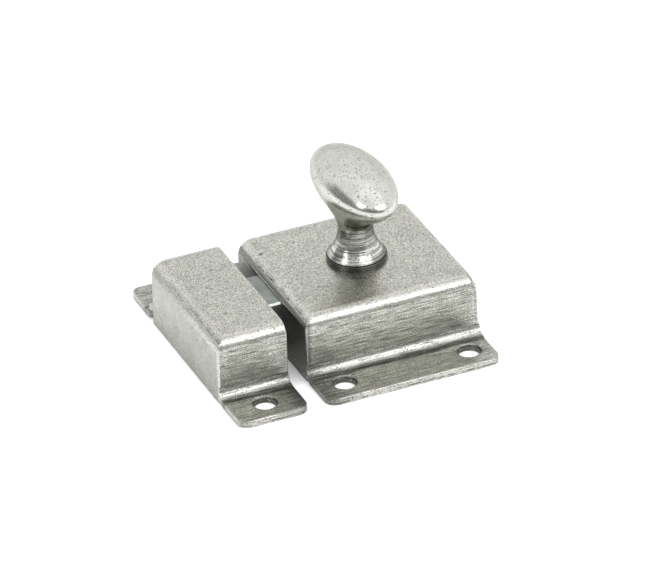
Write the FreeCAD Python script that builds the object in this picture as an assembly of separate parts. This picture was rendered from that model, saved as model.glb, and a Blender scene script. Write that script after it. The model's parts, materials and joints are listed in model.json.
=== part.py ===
"""Cupboard catch latch: a folded sheet case with a turn knob and a sprung bolt, and the keep beside it.

Millimetres. X runs along the bolt from the keep to the case, Y across it from front to back, Z up.
The origin is on the knob's axis, in the plane of the flanges' undersides.
"""
import FreeCAD, Part
import math
import os

# Folded section shared by the case and the keep
SHEET = 1.6
WALL_SPAN = 40.6
HEIGHT = 15.7
FLANGE_WIDTH = 12.1
TOP_FOLD = 1.4
FOOT_FOLD = 2.6
FLANGE_CORNER = 2.6
FLANGE_EDGE_ROUND = 0.35
SCREW_HOLE = 5.0
SCREW_HOLE_ROUND = 0.5
SCREW_FOLD_CLEARANCE = 0.6

# Lengths along the bolt
CASE_LENGTH = 41.5
CASE_SETBACK = 0.5
CASE_SCREW_PITCH = 29.8
KEEP_LENGTH = 16.5
KEEP_GAP = 4.3

# End plates, let in, welded and ground round over the seam
END_PLATE = 1.1
END_TOP_ROUND = 3.4
REAR_TOP_ROUND = 2.2
END_FRONT_ROUND = 0.6
END_BACK_ROUND = 2.6
SEAM_WIDTH = 0.3
SEAM_DEPTH = 0.35

# Bolt
BOLT_WIDTH = 13.6
BOLT_THICKNESS = 8.4
BOLT_HEADROOM = 1.0
BOLT_REACH = 8.1
BOLT_NOSE = 2.6
BOLT_EDGE = 0.4
BOLT_RAIL = 2.6
BOLT_TAIL = 5.0
BOLT_CORNER = 1.5
SLIDE_CLEARANCE = 0.1

# Knob's turn and the cam that changes it into bolt travel
KNOB_TURN = 80.0
TRAVEL_PER_RADIAN = 4.0
CAM_HUB_RADIUS = 3.5
CAM_THICKNESS = 3.1
CAM_OVERRUN = 10.0
CAM_FLANK_STEPS = 10
CAM_TIP_ROUND = 1.0
CAM_CLEARANCE = 0.1
WINDOW_CLEARANCE = 0.4

# Knob: spindle, trumpet base, waist and oval head
SPINDLE_DIAMETER = 6.0
SPINDLE_SQUARE = 4.2
SPINDLE_TIP_DIAMETER = 4.2
SPINDLE_TIP = 0.6
SPINDLE_SQUARE_ROUND = 0.3
KNOB_BASE_DIAMETER = 13.1
KNOB_BASE_RIM = 0.4
KNOB_BASE_LIP = 0.1
KNOB_WAIST_DIAMETER = 7.9
KNOB_WAIST_RISE = 7.0
KNOB_HEAD_LENGTH = 32.2
KNOB_HEAD_WIDTH = 16.2
KNOB_HEAD_RISE = 10.8
KNOB_CROWN = 5.6
KNOB_SECTIONS = 7

# Washers and ring on the spindle
KNOB_WASHER_DIAMETER = 13.7
KNOB_WASHER = 1.0
KNOB_WASHER_ROUND = 0.2
SPINDLE_WASHER_DIAMETER = 11.0
SPINDLE_WASHER = 0.8
RING_THICKNESS = 0.6
RING_OUTER_DIAMETER = 7.0
RING_GROOVE_DIAMETER = 3.2
RING_MOUTH = 2.6
KNOB_PLAY = 0.05
RUNNING_CLEARANCE = 0.05
SEAT_CLEARANCE = 0.02

# Spring and the rod that carries it
ROD_DIAMETER = 2.4
ROD_TENON_DIAMETER = 1.8
ROD_ENGAGEMENT = 3.6
ROD_RISE = 2.4
SPRING_DIAMETER = 4.4
SPRING_WIRE = 0.4
SPRING_TURNS = 8

# Places that follow from the sizes above
HALF_WALL = WALL_SPAN / 2
HALF_SPAN = HALF_WALL + FLANGE_WIDTH
SCREW_ROW = HALF_WALL + FOOT_FOLD + SCREW_FOLD_CLEARANCE + SCREW_HOLE_ROUND + SCREW_HOLE / 2
CASE_LEFT = -CASE_LENGTH / 2 - CASE_SETBACK
CASE_RIGHT = CASE_LEFT + CASE_LENGTH
KEEP_MOUTH = CASE_LEFT - KEEP_GAP
KEEP_END = KEEP_MOUTH - KEEP_LENGTH
CEILING = HEIGHT - SHEET
CAM_TRAVEL = TRAVEL_PER_RADIAN * math.radians(KNOB_TURN)
CAM_REACH = math.hypot(CAM_HUB_RADIUS + CAM_TRAVEL + TRAVEL_PER_RADIAN * math.radians(CAM_OVERRUN),
                       TRAVEL_PER_RADIAN)
BOLT_TOP = CEILING - BOLT_HEADROOM
BOLT_BOTTOM = BOLT_TOP - BOLT_THICKNESS
BOLT_TIP = CASE_LEFT - BOLT_REACH
BOLT_SHOULDER = CASE_LEFT + END_PLATE + SLIDE_CLEARANCE
WINDOW_FRONT = -CAM_HUB_RADIUS - CAM_TRAVEL - WINDOW_CLEARANCE
WINDOW_REAR = CAM_HUB_RADIUS + CAM_CLEARANCE
WINDOW_HALF = CAM_REACH + WINDOW_CLEARANCE
CARRIAGE_HALF = WINDOW_HALF + BOLT_RAIL
BOLT_BACK = WINDOW_REAR + BOLT_TAIL
REAR_SEAT = CASE_RIGHT - END_PLATE
ROD_HEIGHT = BOLT_BOTTOM + ROD_RISE
KNOB_SEAT = HEIGHT + KNOB_WASHER + KNOB_PLAY
SPINDLE_WASHER_TOP = CEILING - KNOB_PLAY
CAM_TOP = SPINDLE_WASHER_TOP - SPINDLE_WASHER
CAM_BOTTOM = CAM_TOP - CAM_THICKNESS
RING_TOP = CAM_BOTTOM - RUNNING_CLEARANCE
RING_BOTTOM = RING_TOP - RING_THICKNESS
GROOVE_BOTTOM = RING_BOTTOM - RUNNING_CLEARANCE
SPINDLE_END = GROOVE_BOTTOM - SPINDLE_TIP

UP = FreeCAD.Vector(0, 0, 1)
ALONG = FreeCAD.Vector(1, 0, 0)
ACROSS = FreeCAD.Vector(0, 1, 0)
ORIGIN = FreeCAD.Vector(0, 0, 0)
TOLERANCE = 1e-4


def block(x_low, x_high, y_low, y_high, z_low, z_high):
    """Box between two corners."""
    return Part.makeBox(x_high - x_low, y_high - y_low, z_high - z_low, FreeCAD.Vector(x_low, y_low, z_low))


def disc(diameter, z_low, z_high, x=0.0, y=0.0):
    """Upright cylinder."""
    return Part.makeCylinder(diameter / 2, z_high - z_low, FreeCAD.Vector(x, y, z_low))


def on_circle(centre, radius, degrees):
    """Point on a circle in the plane across the bolt."""
    angle = math.radians(degrees)
    return centre + FreeCAD.Vector(0, radius * math.cos(angle), radius * math.sin(angle))


def bend(centre, radius, first, last):
    """Arc in the plane across the bolt, between two angles in degrees."""
    points = [on_circle(centre, radius, angle) for angle in (first, (first + last) / 2, last)]
    return Part.Arc(*points).toShape()


def line(first, last):
    return Part.LineSegment(first, last).toShape()


def middle_of(edge):
    return edge.valueAt((edge.FirstParameter + edge.LastParameter) / 2)


def edges_where(shape, test):
    """Edges that pass a test of the edge and its middle point."""
    return [edge for edge in shape.Edges if test(edge, middle_of(edge))]


def upright(edge, middle):
    return abs(edge.tangentAt(edge.FirstParameter).z) > 1 - TOLERANCE


def folded_section(x_low, x_high):
    """Hat section of one sheet: flange, wall, top, wall and flange, with true bend radii."""
    top_centre = FreeCAD.Vector(x_low, HALF_WALL - TOP_FOLD - SHEET, CEILING - TOP_FOLD)
    foot_centre = FreeCAD.Vector(x_low, HALF_WALL + FOOT_FOLD, SHEET + FOOT_FOLD)
    ridge_out = FreeCAD.Vector(x_low, 0, HEIGHT)
    ridge_in = FreeCAD.Vector(x_low, 0, CEILING)
    toe_up = FreeCAD.Vector(x_low, HALF_SPAN, SHEET)
    toe_down = FreeCAD.Vector(x_low, HALF_SPAN, 0)
    top_out = bend(top_centre, TOP_FOLD + SHEET, 90, 0)
    top_in = bend(top_centre, TOP_FOLD, 0, 90)
    foot_out = bend(foot_centre, FOOT_FOLD, 180, 270)
    foot_in = bend(foot_centre, FOOT_FOLD + SHEET, 270, 180)
    bends = [top_out, foot_out, foot_in, top_in]
    starts = [piece.valueAt(piece.FirstParameter) for piece in bends]
    ends = [piece.valueAt(piece.LastParameter) for piece in bends]
    outer_run = [line(ridge_out, starts[0]), top_out, line(ends[0], starts[1]), foot_out, line(ends[1], toe_up)]
    inner_run = [line(toe_down, starts[2]), foot_in, line(ends[2], starts[3]), top_in, line(ends[3], ridge_in)]
    outline = outer_run + [line(toe_up, toe_down)] + inner_run + [line(ridge_in, ridge_out)]
    half = Part.Face(Part.Wire(outline)).extrude(ALONG * (x_high - x_low))
    return half.fuse(half.mirror(ORIGIN, ACROSS)).removeSplitter()


def end_round(x_end):
    """Radius that an end is ground to along its top edge: the case's rear end less than the others."""
    return REAR_TOP_ROUND if x_end == CASE_RIGHT else END_TOP_ROUND


def ground_body(x_low, x_high, plated_ends):
    """Outer form of the walls and top, after the welded ends have been ground round."""
    body = block(x_low, x_high, -HALF_WALL, HALF_WALL, 0, HEIGHT)

    def at_plated_end(middle):
        return any(abs(middle.x - x_end) < TOLERANCE for x_end in plated_ends)

    def at_shoulder(edge, middle):
        return abs(abs(middle.y) - HALF_WALL) < TOLERANCE and abs(middle.z - HEIGHT) < TOLERANCE

    def at_front_corner(edge, middle):
        return upright(edge, middle) and at_plated_end(middle) and middle.y < 0

    def at_back_corner(edge, middle):
        return upright(edge, middle) and at_plated_end(middle) and middle.y > 0

    folded = body.makeFillet(TOP_FOLD + SHEET, edges_where(body, at_shoulder))
    capped = body
    for x_end in plated_ends:

        def at_top_end(edge, middle):
            return abs(middle.x - x_end) < TOLERANCE and abs(middle.z - HEIGHT) < TOLERANCE

        capped = capped.makeFillet(end_round(x_end), edges_where(capped, at_top_end))
    cornered = body.makeFillet(END_FRONT_ROUND, edges_where(body, at_front_corner))
    cornered = cornered.makeFillet(END_BACK_ROUND, edges_where(cornered, at_back_corner))
    return folded.common(capped).common(cornered)


def flanged_shell(x_low, x_high, plated_ends, screw_places):
    """Folded sheet with rounded flange corners and screw holes, cut back where an end plate is let in."""
    shell = folded_section(x_low, x_high)

    def at_flange_corner(edge, middle):
        return upright(edge, middle) and abs(abs(middle.y) - HALF_SPAN) < TOLERANCE

    shell = shell.makeFillet(FLANGE_CORNER, edges_where(shell, at_flange_corner))
    for x, y in screw_places:
        shell = shell.cut(disc(SCREW_HOLE, 0, SHEET, x, y))

    def at_flange_rim(edge, middle):
        return abs(middle.z - SHEET) < TOLERANCE and abs(middle.y) > HALF_WALL + FOOT_FOLD + TOLERANCE

    def at_hole_rim(edge, middle):
        return at_flange_rim(edge, middle) and abs(edge.Length - math.pi * SCREW_HOLE) < TOLERANCE

    def at_toe_rim(edge, middle):
        beyond_holes = abs(middle.y) > SCREW_ROW + SCREW_HOLE / 2
        return at_flange_rim(edge, middle) and not at_hole_rim(edge, middle) and beyond_holes

    shell = shell.makeFillet(SCREW_HOLE_ROUND, edges_where(shell, at_hole_rim))
    shell = shell.makeFillet(FLANGE_EDGE_ROUND, edges_where(shell, at_toe_rim))
    room = block(x_low, x_high, -HALF_WALL, HALF_WALL, 0, HEIGHT)
    shell = shell.cut(room.cut(ground_body(x_low, x_high, plated_ends)))
    for x_end in plated_ends:
        shell = shell.cut(plate_room(x_end, x_low, x_high))
    return shell


def plate_room(x_end, x_low, x_high):
    """Space that an end plate takes up at one end of a folded section."""
    inner_low = max(x_low, x_end - END_PLATE)
    inner_high = min(x_high, x_end + END_PLATE)
    return block(inner_low, inner_high, -HALF_WALL, HALF_WALL, 0, HEIGHT)


def end_plate(x_end, x_low, x_high):
    """Plate that closes one end of a folded section, cut back along the top to leave a seam groove."""
    plate = plate_room(x_end, x_low, x_high).common(ground_body(x_low, x_high, [x_end]))
    radius = end_round(x_end)
    seam_height = HEIGHT - radius + math.sqrt(radius ** 2 - (radius - END_PLATE) ** 2)
    groove_low = x_low + END_PLATE - SEAM_WIDTH if x_end == x_low else x_high - END_PLATE
    groove_high = groove_low + SEAM_WIDTH
    groove = block(groove_low, groove_high, -HALF_WALL, HALF_WALL, seam_height - SEAM_DEPTH, HEIGHT)
    return plate.cut(groove)


def case_shell():
    places = [(x * CASE_SCREW_PITCH / 2, y * SCREW_ROW) for x in (-1, 1) for y in (-1, 1)]
    shell = flanged_shell(CASE_LEFT, CASE_RIGHT, [CASE_LEFT, CASE_RIGHT], places)
    return shell.cut(disc(SPINDLE_DIAMETER + 2 * RUNNING_CLEARANCE, CEILING, HEIGHT))


def case_slot_plate():
    """End plate on the keep's side, with the slot that guides the bolt."""
    half_slot = BOLT_WIDTH / 2 + SLIDE_CLEARANCE
    slot = block(CASE_LEFT, CASE_LEFT + END_PLATE, -half_slot, half_slot,
                 BOLT_BOTTOM - SLIDE_CLEARANCE, BOLT_TOP + SLIDE_CLEARANCE)
    return end_plate(CASE_LEFT, CASE_LEFT, CASE_RIGHT).cut(slot)


def case_rear_plate():
    """Closed end plate, drilled for the riveted tenon of the spring rod."""
    tenon_hole = Part.makeCylinder(ROD_TENON_DIAMETER / 2 + SEAT_CLEARANCE, END_PLATE,
                                   FreeCAD.Vector(REAR_SEAT, 0, ROD_HEIGHT), ALONG)
    return end_plate(CASE_RIGHT, CASE_LEFT, CASE_RIGHT).cut(tenon_hole)


def keep_shell():
    x_middle = (KEEP_MOUTH + KEEP_END) / 2
    places = [(x_middle, y * SCREW_ROW) for y in (-1, 1)]
    return flanged_shell(KEEP_END, KEEP_MOUTH, [KEEP_END], places)


def latch_bolt():
    """Bolt: a nose bevelled below, which the keep's edge pushes back, and a window frame round the cam."""
    nose = block(BOLT_TIP, BOLT_SHOULDER + BOLT_EDGE, -BOLT_WIDTH / 2, BOLT_WIDTH / 2, BOLT_BOTTOM, BOLT_TOP)
    bevel = BOLT_THICKNESS - BOLT_NOSE
    heel = FreeCAD.Vector(BOLT_TIP + bevel, -BOLT_WIDTH / 2, BOLT_BOTTOM)
    corners = [FreeCAD.Vector(BOLT_TIP, -BOLT_WIDTH / 2, BOLT_BOTTOM),
               FreeCAD.Vector(BOLT_TIP, -BOLT_WIDTH / 2, BOLT_BOTTOM + bevel), heel]
    nose = nose.cut(Part.Face(Part.makePolygon(corners + corners[:1])).extrude(ACROSS * BOLT_WIDTH))

    def on_upper_rim(edge, middle):
        above = abs(middle.z - BOLT_TOP) < TOLERANCE
        return above and middle.x < BOLT_SHOULDER

    nose = nose.makeChamfer(BOLT_EDGE, edges_where(nose, on_upper_rim))
    frame = block(BOLT_SHOULDER, BOLT_BACK, -CARRIAGE_HALF, CARRIAGE_HALF, BOLT_BOTTOM, BOLT_TOP)
    frame = frame.makeFillet(BOLT_CORNER, edges_where(frame, upright))
    window = block(WINDOW_FRONT, WINDOW_REAR, -WINDOW_HALF, WINDOW_HALF, BOLT_BOTTOM, BOLT_TOP)
    rod_bore = Part.makeCylinder(ROD_DIAMETER / 2 + RUNNING_CLEARANCE, BOLT_TAIL,
                                 FreeCAD.Vector(WINDOW_REAR, 0, ROD_HEIGHT), ALONG)
    return frame.fuse(nose).removeSplitter().cut(window).cut(rod_bore)


def bolt_spring():
    """Compression spring between the bolt's tail and the rear plate."""
    mean_radius = (SPRING_DIAMETER - SPRING_WIRE) / 2
    first_turn = BOLT_BACK + SEAT_CLEARANCE + SPRING_WIRE / 2
    last_turn = REAR_SEAT - SEAT_CLEARANCE - SPRING_WIRE / 2
    length = last_turn - first_turn
    helix = Part.makeHelix(length / SPRING_TURNS, length, mean_radius)
    wire = Part.makeCircle(SPRING_WIRE / 2, FreeCAD.Vector(mean_radius, 0, 0), ACROSS)
    coil = Part.Wire(helix).makePipeShell([Part.Wire(wire)], True, True)
    coil.rotate(ORIGIN, ACROSS, 90)
    coil.translate(FreeCAD.Vector(first_turn, 0, ROD_HEIGHT))
    return coil


def spring_rod():
    """Rod with a smaller tenon that is riveted flush in the rear plate."""
    rod_start = FreeCAD.Vector(BOLT_BACK - ROD_ENGAGEMENT, 0, ROD_HEIGHT)
    tenon_start = FreeCAD.Vector(REAR_SEAT, 0, ROD_HEIGHT)
    rod = Part.makeCylinder(ROD_DIAMETER / 2, REAR_SEAT - rod_start.x, rod_start, ALONG)
    tenon = Part.makeCylinder(ROD_TENON_DIAMETER / 2, END_PLATE, tenon_start, ALONG)
    return rod.fuse(tenon)


def cam():
    """Plate cam whose involute flank moves a flat wall by the same step for each degree of turn."""
    def flank_point(degrees):
        turn = math.radians(degrees)
        lift = CAM_HUB_RADIUS + TRAVEL_PER_RADIAN * turn
        outward = FreeCAD.Vector(math.cos(turn), math.sin(turn), 0)
        backward = FreeCAD.Vector(-math.sin(turn), math.cos(turn), 0)
        return outward * lift + backward * TRAVEL_PER_RADIAN

    last_angle = KNOB_TURN + CAM_OVERRUN
    points = [flank_point(last_angle * step / CAM_FLANK_STEPS) for step in range(CAM_FLANK_STEPS + 1)]
    flank = Part.BSplineCurve()
    flank.interpolate(points)
    root = FreeCAD.Vector(CAM_HUB_RADIUS, 0, 0)
    far_side = FreeCAD.Vector(-CAM_HUB_RADIUS, 0, 0)
    hub = Part.Arc(far_side, FreeCAD.Vector(0, -CAM_HUB_RADIUS, 0), root).toShape()
    outline = Part.Wire([line(root, points[0]), flank.toShape(), line(points[-1], far_side), hub])
    plate = Part.Face(outline).extrude(UP * CAM_THICKNESS)
    plate.translate(UP * CAM_BOTTOM)

    def at_tip(edge, middle):
        return (FreeCAD.Vector(middle.x, middle.y, 0) - points[-1]).Length < TOLERANCE

    plate = plate.makeFillet(CAM_TIP_ROUND, edges_where(plate, at_tip))
    half_square = SPINDLE_SQUARE / 2 + RUNNING_CLEARANCE
    return plate.cut(block(-half_square, half_square, -half_square, half_square, CAM_BOTTOM, CAM_TOP))


def knob():
    """Spindle, trumpet base, waist and oval head in one turned and ground piece."""
    base_radius = KNOB_BASE_DIAMETER / 2
    waist_radius = KNOB_WAIST_DIAMETER / 2
    flare_foot = KNOB_SEAT + KNOB_BASE_RIM
    flare_radius = base_radius - KNOB_BASE_LIP
    waist_height = KNOB_SEAT + KNOB_WAIST_RISE
    head_height = waist_height + KNOB_HEAD_RISE
    run = flare_radius - waist_radius
    rise = waist_height - flare_foot
    sweep_radius = (run ** 2 + rise ** 2) / (2 * run)
    half_angle = math.asin(rise / sweep_radius) / 2
    middle = FreeCAD.Vector(waist_radius + sweep_radius * (1 - math.cos(half_angle)), 0,
                            waist_height - sweep_radius * math.sin(half_angle))
    foot = FreeCAD.Vector(flare_radius, 0, flare_foot)
    waist = FreeCAD.Vector(waist_radius, 0, waist_height)
    corners = [FreeCAD.Vector(0, 0, waist_height), FreeCAD.Vector(0, 0, KNOB_SEAT),
               FreeCAD.Vector(base_radius, 0, KNOB_SEAT), FreeCAD.Vector(base_radius, 0, flare_foot), foot]
    profile = [line(first, last) for first, last in zip(corners, corners[1:])]
    profile += [Part.Arc(foot, middle, waist).toShape(), line(waist, corners[0])]
    stem = Part.Face(Part.Wire(profile)).revolve(ORIGIN, UP, 360)

    def oval(share):
        blend = share * share * (3 - 2 * share)
        long_radius = waist_radius + (KNOB_HEAD_LENGTH / 2 - waist_radius) * blend
        short_radius = waist_radius + (KNOB_HEAD_WIDTH / 2 - waist_radius) * blend
        height = waist_height + KNOB_HEAD_RISE * share
        stretch = FreeCAD.Matrix(short_radius, 0, 0, 0, 0, long_radius, 0, 0, 0, 0, 1, height)
        return Part.Wire(Part.makeCircle(1).transformGeometry(stretch).Edges)

    goblet = Part.makeLoft([oval(step / (KNOB_SECTIONS - 1)) for step in range(KNOB_SECTIONS)], True, False)
    crown_stretch = FreeCAD.Matrix(KNOB_HEAD_WIDTH / 2, 0, 0, 0, 0, KNOB_HEAD_LENGTH / 2, 0, 0,
                                   0, 0, KNOB_CROWN, head_height)
    crown = Part.makeSphere(1, ORIGIN, UP, 0, 90, 360).transformGeometry(crown_stretch)
    shank = disc(SPINDLE_DIAMETER, CAM_TOP, KNOB_SEAT)
    half_square = SPINDLE_SQUARE / 2
    square = block(-half_square, half_square, -half_square, half_square, CAM_BOTTOM, CAM_TOP)
    square = square.makeFillet(SPINDLE_SQUARE_ROUND, edges_where(square, upright))
    groove = disc(RING_GROOVE_DIAMETER, GROOVE_BOTTOM, CAM_BOTTOM)
    tip = disc(SPINDLE_TIP_DIAMETER, SPINDLE_END, GROOVE_BOTTOM)
    return stem.multiFuse([goblet, crown, shank, square, groove, tip]).removeSplitter()


def washer(outer_diameter, z_low, z_high):
    """Flat washer on the spindle."""
    hole = disc(SPINDLE_DIAMETER + 2 * RUNNING_CLEARANCE, z_low, z_high)
    return disc(outer_diameter, z_low, z_high).cut(hole)


def knob_washer():
    ring = washer(KNOB_WASHER_DIAMETER, HEIGHT, HEIGHT + KNOB_WASHER)

    def on_upper_rim(edge, middle):
        whole_circle = abs(edge.Length - math.pi * KNOB_WASHER_DIAMETER) < TOLERANCE
        return whole_circle and middle.z > HEIGHT

    return ring.makeFillet(KNOB_WASHER_ROUND, edges_where(ring, on_upper_rim))


def spindle_washer():
    return washer(SPINDLE_WASHER_DIAMETER, CAM_TOP, SPINDLE_WASHER_TOP)


def retaining_ring():
    """Open ring that snaps into the spindle's groove under the cam."""
    ring = disc(RING_OUTER_DIAMETER, RING_BOTTOM, RING_TOP)
    ring = ring.cut(disc(RING_GROOVE_DIAMETER + 2 * RUNNING_CLEARANCE, RING_BOTTOM, RING_TOP))
    mouth = block(0, RING_OUTER_DIAMETER, -RING_MOUTH / 2, RING_MOUTH / 2, RING_BOTTOM, RING_TOP)
    return ring.cut(mouth)


os.makedirs("parts", exist_ok=True)
pieces = {
    "case_shell": case_shell(),
    "case_slot_plate": case_slot_plate(),
    "case_rear_plate": case_rear_plate(),
    "spring_rod": spring_rod(),
    "bolt_spring": bolt_spring(),
    "latch_bolt": latch_bolt(),
    "knob": knob(),
    "knob_washer": knob_washer(),
    "spindle_washer": spindle_washer(),
    "cam": cam(),
    "retaining_ring": retaining_ring(),
    "keep_shell": keep_shell(),
    "keep_end_plate": end_plate(KEEP_END, KEEP_END, KEEP_MOUTH),
}
for name, shape in pieces.items():
    shape.exportStep(f"parts/{name}.step")
    print(name, "valid" if shape.isValid() else "NOT VALID", len(shape.Solids), round(shape.Volume, 2))
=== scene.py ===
"""Cupboard catch latch in pewter-finished steel.

A folded case with an oval turn knob and a sprung bolt, and the keep that the bolt shoots into.
"""
import json
import math
import bmesh
import bpy
from mathutils import Matrix, Vector, noise


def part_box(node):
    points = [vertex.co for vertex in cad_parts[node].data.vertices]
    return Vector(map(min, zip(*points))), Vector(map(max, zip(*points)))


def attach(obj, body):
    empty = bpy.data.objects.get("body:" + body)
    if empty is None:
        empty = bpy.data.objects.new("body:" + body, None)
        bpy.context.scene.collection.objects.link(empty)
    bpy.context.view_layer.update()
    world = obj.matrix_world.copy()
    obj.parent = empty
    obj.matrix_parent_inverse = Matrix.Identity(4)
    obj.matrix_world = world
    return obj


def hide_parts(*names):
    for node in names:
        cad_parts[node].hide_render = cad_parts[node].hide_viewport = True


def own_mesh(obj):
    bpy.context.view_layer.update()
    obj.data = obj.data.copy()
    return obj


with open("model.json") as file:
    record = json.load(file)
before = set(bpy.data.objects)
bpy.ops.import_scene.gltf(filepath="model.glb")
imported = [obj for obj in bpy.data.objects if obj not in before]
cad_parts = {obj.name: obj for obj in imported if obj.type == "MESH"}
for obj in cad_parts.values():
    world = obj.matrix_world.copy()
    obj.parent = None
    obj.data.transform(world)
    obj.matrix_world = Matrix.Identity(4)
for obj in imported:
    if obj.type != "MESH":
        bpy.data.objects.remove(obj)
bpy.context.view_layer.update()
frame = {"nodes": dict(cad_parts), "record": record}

# Case sheet
# One strip of 1.6 mm steel, folded twice on each side into a hat section, with screw holes in its flanges.
# Its ends are cut back for the end plates, welded and ground round, and all is finished in waxed pewter.
mm = 0.001
sheet = 1.6 * mm
top_fold = 3.0 * mm
foot_fold = 2.6 * mm
toe_round = 0.35 * mm
flange_corner = 2.6 * mm
cut_edge = 0.15 * mm
end_plate = 1.1 * mm
end_top_round = 3.4 * mm
rear_top_round = 2.2 * mm
end_back_round = 2.6 * mm
back_corner_round = 3.4 * mm
rear_corner_round = 2.4 * mm
corner_blend = 0.8 * mm
weld_reach = 0.29 * mm
weld_pace = 1.6 * mm
weld_cover = 0.55
weld_swing = 1.4
weld_end = 7 * mm
weld_fade = 4 * mm
seam_band = 0.25 * mm
screw_hole = 2.5 * mm
screw_hole_round = 0.5 * mm
spindle_hole = 3.05 * mm
mesh_step = 0.4 * mm
hair = 1e-7
crease_degrees = 40
case_low, case_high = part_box("case_shell")
case_left, case_right = case_low.x, case_high.x
height = case_high.z
half_span = case_high.y
half_wall = -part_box("case_rear_plate")[0].y
wall_foot = sheet + foot_fold
wall_head = height - top_fold
mounts = {mount["name"]: mount for mount in frame["record"]["mounts"]}
screw_row = mounts["case_screws"]["dims"]["spacing_y_mm"] * mm / 2
case_screw_pitch = mounts["case_screws"]["dims"]["spacing_x_mm"] * mm


def straight(first, last, step):
    """Points from first up to, but not including, last."""
    first, last = Vector(first), Vector(last)
    count = max(1, round((last - first).length / step))
    return [first.lerp(last, index / count) for index in range(count)]


def bend(centre, radius, first, last, count):
    """Points on an arc between two angles in degrees, without its last point."""
    angles = [math.radians(first + (last - first) * index / count) for index in range(count)]
    return [Vector(centre) + radius * Vector((math.cos(angle), math.sin(angle))) for angle in angles]


def hat_outline():
    """Pairs of outer and inner points (y, z) round the folded section, from front toe to back toe."""
    top_centre = (half_wall - top_fold, wall_head)
    foot_centre = (half_wall + foot_fold, wall_foot)
    inner_wall = half_wall - sheet
    ceiling = height - sheet
    toe_start = half_span - toe_round
    fold_steps, toe_steps = 14, 4
    outer = straight((0, height), (top_centre[0], height), mesh_step)
    outer += bend(top_centre, top_fold, 90, 0, fold_steps)
    outer += straight((half_wall, wall_head), (half_wall, wall_foot), mesh_step)
    outer += bend(foot_centre, foot_fold, 180, 270, fold_steps)
    outer += straight((foot_centre[0], sheet), (toe_start, sheet), mesh_step)
    outer += bend((toe_start, sheet - toe_round), toe_round, 90, 0, toe_steps)
    outer += [Vector((half_span, sheet - toe_round))]
    inner = straight((0, ceiling), (top_centre[0], ceiling), mesh_step)
    inner += bend(top_centre, top_fold - sheet, 90, 0, fold_steps)
    inner += straight((inner_wall, wall_head), (inner_wall, wall_foot), mesh_step)
    inner += bend(foot_centre, foot_fold + sheet, 180, 270, fold_steps)
    inner += straight((foot_centre[0], 0), (toe_start, 0), mesh_step)
    inner += straight((toe_start, 0), (half_span, 0), toe_round / toe_steps)
    inner += [Vector((half_span, 0))]
    back = list(zip(outer, inner))
    front = [(Vector((-a.x, a.y)), Vector((-b.x, b.y))) for a, b in reversed(back[1:])]
    return front + back


def rounded_drop(distance, radius):
    """How far a ground corner falls away at a distance from its edge."""
    if distance >= radius:
        return 0.0
    return radius - math.sqrt(max(0.0, radius ** 2 - (radius - distance) ** 2))


def weld_fill(y):
    """How far the ground weld runs out over the seam: uneven, and closed towards the back."""
    weld_seed = 7.0
    closed = weld_cover + weld_swing * noise.noise(Vector((y / weld_pace, 0.0, weld_seed)))
    closed += max(0.0, (y - weld_end) / weld_fade)
    return weld_reach * min(1.0, max(0.0, closed))


def grind_corner(point, x_end, inward):
    """Rounds a point off where an end, the top and a wall meet in one ground corner.

    Both ends have such a corner at the back, and the rear end has a smaller one at the front.
    """
    corners = [(1, back_corner_round)]
    if inward < 0:
        corners.append((-1, rear_corner_round))
    ground = Vector(point)
    for side, radius in corners:
        centre = Vector((x_end + inward * radius, side * (half_wall - radius), height - radius))
        out = ground - centre
        past = min(-inward * out.x, side * out.y, out.z)
        if past > 0 and out.length > radius:
            ground = centre + out.lerp(out.normalized() * radius, min(1.0, past / corner_blend))
    return ground


def seam_inset(y, z, radius, outside):
    """How far in from a plated end the sheet stops: at the plate, or on top with the weld."""
    on_top = outside and z > height - rounded_drop(end_plate, radius) - seam_band
    return end_plate - (weld_fill(y) if on_top else 0.0)


def sheet_rows(x_low, x_high, low_round, high_round):
    """Outer and inner points of the section along the bolt, with the plated ends ground."""
    outline = hat_outline()
    steps = round((x_high - x_low) / mesh_step)

    def place(point, share, outside):
        y, z = point
        past_corner = abs(y) - (half_span - flange_corner)
        inset = rounded_drop(flange_corner - past_corner, flange_corner) if past_corner > 0 else 0.0
        within_walls = abs(y) <= half_wall + hair
        inset_low, inset_high = (seam_inset(y, z, radius, outside) if radius and within_walls else inset
                                 for radius in (low_round, high_round))
        start, stop = x_low + inset_low, x_high - inset_high
        x = start + (stop - start) * share
        if outside and within_walls:
            for radius, distance in ((low_round, x - x_low), (high_round, x_high - x)):
                if radius:
                    z = min(z, height - rounded_drop(distance, radius))
                if radius and z > wall_foot:
                    y = min(y, half_wall - rounded_drop(distance, end_back_round))
            for radius, x_end, inward in ((low_round, x_low, 1), (high_round, x_high, -1)):
                if radius:
                    x, y, z = grind_corner((x, y, z), x_end, inward)
        return (x, y, z)

    rows = []
    for step in range(steps + 1):
        share = step / steps
        rows.append(([place(outer, share, True) for outer, inner in outline],
                     [place(inner, share, False) for outer, inner in outline]))
    return rows


def plain_mesh(name, work):
    """Ends the work on a mesh and keeps it under a name."""
    made = bpy.data.meshes.new(name)
    work.to_mesh(made)
    work.free()
    return made


def skin(mesh, rings):
    """Joins rings of points from the lowest one up, and closes the lowest."""
    for lower, upper in zip(rings, rings[1:]):
        for side in range(len(lower)):
            beside = (side + 1) % len(lower)
            mesh.faces.new((lower[side], lower[beside], upper[beside], upper[side]))
    mesh.faces.new(reversed(rings[0]))


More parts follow.
